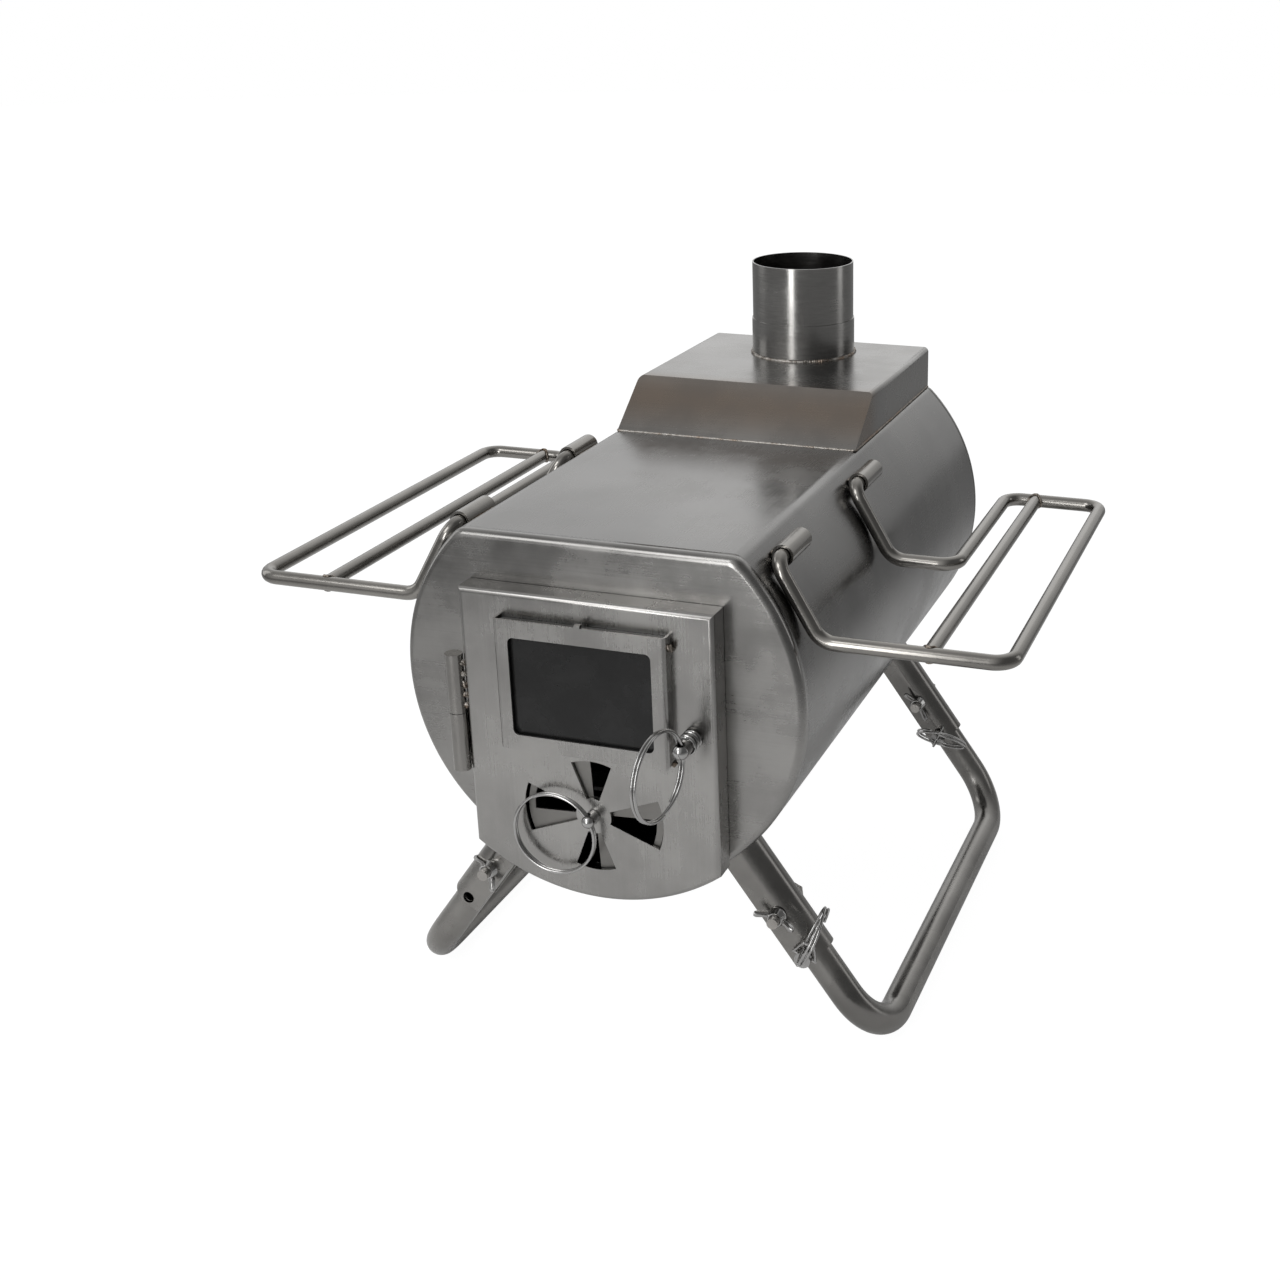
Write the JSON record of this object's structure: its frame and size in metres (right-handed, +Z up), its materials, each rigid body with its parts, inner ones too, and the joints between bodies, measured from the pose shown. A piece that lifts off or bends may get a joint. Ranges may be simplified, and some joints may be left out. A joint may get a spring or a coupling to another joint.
{
  "type": "tent wood stove",
  "caption": "Drum-shaped wood stove with a glazed front door, rear flue box, folding tube legs and two fold-up rod side shelves.",
  "frame": {"origin": "centre of the bounding box's underside, where the floor bars rest", "axes": "+X to the right seen from the door, +Y from the door to the flue, +Z up"},
  "size_m": [0.4106, 0.4268, 0.3667],
  "materials": {
    "steel": "brushed",
    "bright_steel": "polished",
    "cast_iron": "matte",
    "glass": "polished",
    "rope": "matte"
  },
  "bodies": {
    "stove": {"drum_shell": "steel", "front_plate": "steel", "rear_plate": "steel", "flue_box": "steel", "flue_collar": "steel", "hinge_knuckle_lower": "steel", "hinge_pin": "bright_steel", "shelf_sleeves_left": "steel", "shelf_sleeves_right": "steel", "leg_bracket_front_left": "steel", "leg_bracket_front_right": "steel", "leg_bracket_rear_left": "steel", "leg_bracket_rear_right": "steel", "leg_right": "steel", "pivot_bolt_front_left": "bright_steel", "pivot_bolt_front_right": "bright_steel", "pivot_bolt_rear_left": "bright_steel", "pivot_bolt_rear_right": "bright_steel", "wing_nut_front_left": "bright_steel", "wing_nut_front_right": "bright_steel", "wing_nut_rear_left": "bright_steel", "wing_nut_rear_right": "bright_steel", "fire_grate": "cast_iron", "baffle_plate": "steel"},
    "door": {"door_shell": "steel", "door_gasket": "rope", "window_frame": "steel", "window_glass": "glass", "glass_gasket": "rope", "hinge_knuckle_upper": "steel", "latch_spring": "bright_steel"},
    "damper": {"damper_disc": "steel", "damper_post": "bright_steel"},
    "damper_pull": {"damper_ring": "bright_steel"},
    "latch": {"latch_spindle": "bright_steel", "latch_tongue": "steel"},
    "latch_pull": {"latch_ring": "bright_steel"},
    "shelf_left": {"shelf_frame_left": "bright_steel", "shelf_middle_bar_left": "bright_steel"},
    "shelf_right": {"shelf_frame_right": "bright_steel", "shelf_middle_bar_right": "bright_steel"},
    "folding_leg": {"leg_left": "steel"},
    "pin_front": {"lock_pin_front": "bright_steel"},
    "pin_rear": {"lock_pin_rear": "bright_steel"},
    "pin_pull_front": {"lock_ring_front": "bright_steel"},
    "pin_pull_rear": {"lock_ring_rear": "bright_steel"}
  },
  "joints": [
    {"name": "door_hinge", "type": "hinge", "parent": "stove", "child": "door", "pos_m": [-0.0715, -0.15454, 0.20669], "axis": [0, 0, -1], "range_deg": [0, 110]},
    {"name": "damper_turn", "type": "hinge", "parent": "door", "child": "damper", "pos_m": [0, -0.15504, 0.14569], "axis": [0, -1, 0], "range_deg": [-27, 18]},
    {"name": "damper_ring_swing", "type": "hinge", "parent": "damper", "child": "damper_pull", "pos_m": [0, -0.16044, 0.14569], "axis": [-0.454, 0, 0.891], "range_deg": [0, 140]},
    {"name": "latch_turn", "type": "hinge", "parent": "door", "child": "latch", "pos_m": [0.0547, -0.15504, 0.19609], "axis": [0, 1, 0], "range_deg": [0, 90]},
    {"name": "latch_ring_swing", "type": "hinge", "parent": "latch", "child": "latch_pull", "pos_m": [0.0547, -0.16984, 0.19609], "axis": [0, -0.1736, 0.9848], "range_deg": [-60, 60]},
    {"name": "left_shelf_fold", "type": "hinge", "parent": "stove", "child": "shelf_left", "pos_m": [-0.0865, -0.12254, 0.27799], "axis": [0, 1, 0], "range_deg": [0, 140]},
    {"name": "right_shelf_fold", "type": "hinge", "parent": "stove", "child": "shelf_right", "pos_m": [0.0865, -0.12254, 0.27799], "axis": [0, -1, 0], "range_deg": [0, 140]},
    {"name": "left_leg_fold", "type": "hinge", "parent": "stove", "child": "folding_leg", "pos_m": [-0.08263, -0.10624, 0.08185], "axis": [0, -1, 0], "range_deg": [0, 125]},
    {"name": "front_pin_pull", "type": "slide", "parent": "stove", "child": "pin_front", "axis": [0, -1, 0], "range_m": [0, 0.032]},
    {"name": "rear_pin_pull", "type": "slide", "parent": "stove", "child": "pin_rear", "axis": [0, -1, 0], "range_m": [0, 0.032]},
    {"name": "front_pin_ring_swing", "type": "hinge", "parent": "pin_front", "child": "pin_pull_front", "pos_m": [0.10024, -0.12127, 0.06791], "axis": [0.046, 0.8571, 0.5131], "range_deg": [0, 40]},
    {"name": "rear_pin_ring_swing", "type": "hinge", "parent": "pin_rear", "child": "pin_pull_rear", "pos_m": [0.09755, 0.15206, 0.06093], "axis": [0.901, 0.245, -0.358], "range_deg": [0, 60]}
  ]
}
